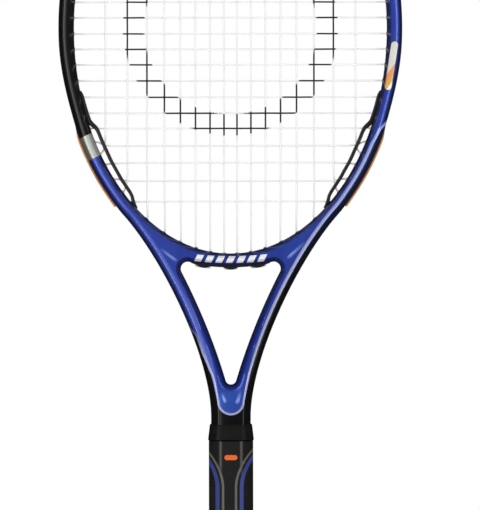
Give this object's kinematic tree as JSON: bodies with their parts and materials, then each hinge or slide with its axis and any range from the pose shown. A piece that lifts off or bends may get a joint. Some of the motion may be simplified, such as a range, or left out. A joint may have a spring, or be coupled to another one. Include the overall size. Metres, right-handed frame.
{
  "type": "tennis racket",
  "caption": "Strung tennis racket with an oval hoop, an open throat, black bars beside the lower strings, and an octagonal gripped handle.",
  "frame": {"origin": "middle of the butt cap's end face", "axes": "+Z along the racket from the butt to the top of the head, +Y square to the string bed away from the front face, +X across the head to the right in front view"},
  "size_m": [0.2618, 0.0346, 0.6858],
  "materials": {
    "frame_paint": "glossy lacquer, metallic blue with black and silver fields",
    "strip_black": "satin moulded nylon",
    "cushion_orange": "satin elastomer",
    "bar_black": "satin moulded plastic",
    "string_clear": "smooth coated multifilament",
    "pallet_foam": "moulded foam",
    "grip_black": "fine-grained synthetic leather with grey and blue trim lines",
    "tape_black": "vinyl tape",
    "collar_rubber": "matt rubber",
    "cap_plastic": "satin moulded plastic",
    "staple_steel": "zinc-plated wire"
  },
  "bodies": {
    "racket": {"frame": "frame_paint", "head_bumper_guard": "strip_black", "side_grommet_strip_right": "strip_black", "side_grommet_strip_left": "strip_black", "shoulder_grommet_strip_right": "strip_black", "shoulder_grommet_strip_left": "strip_black", "throat_grommet_strip": "strip_black", "cushion_strip_right": "cushion_orange", "cushion_strip_left": "cushion_orange", "suspension_bar_right": "bar_black", "suspension_bar_left": "bar_black", "main_string": "string_clear", "cross_string": "string_clear", "pallet_front": "pallet_foam", "pallet_back": "pallet_foam", "grip_sleeve": "grip_black", "finishing_tape": "tape_black", "butt_cap": "cap_plastic", "staple_front": "staple_steel", "staple_back": "staple_steel"},
    "collar": {"collar": "collar_rubber"},
    "door": {"butt_cap_door": "cap_plastic"}
  },
  "joints": [
    {"name": "collar_slide", "type": "slide", "parent": "racket", "child": "collar", "axis": [0, 0, 1], "range_m": [0, 0.006]},
    {"name": "door_slide", "type": "slide", "parent": "racket", "child": "door", "axis": [0, 0, -1], "range_m": [0, 0.005]}
  ]
}
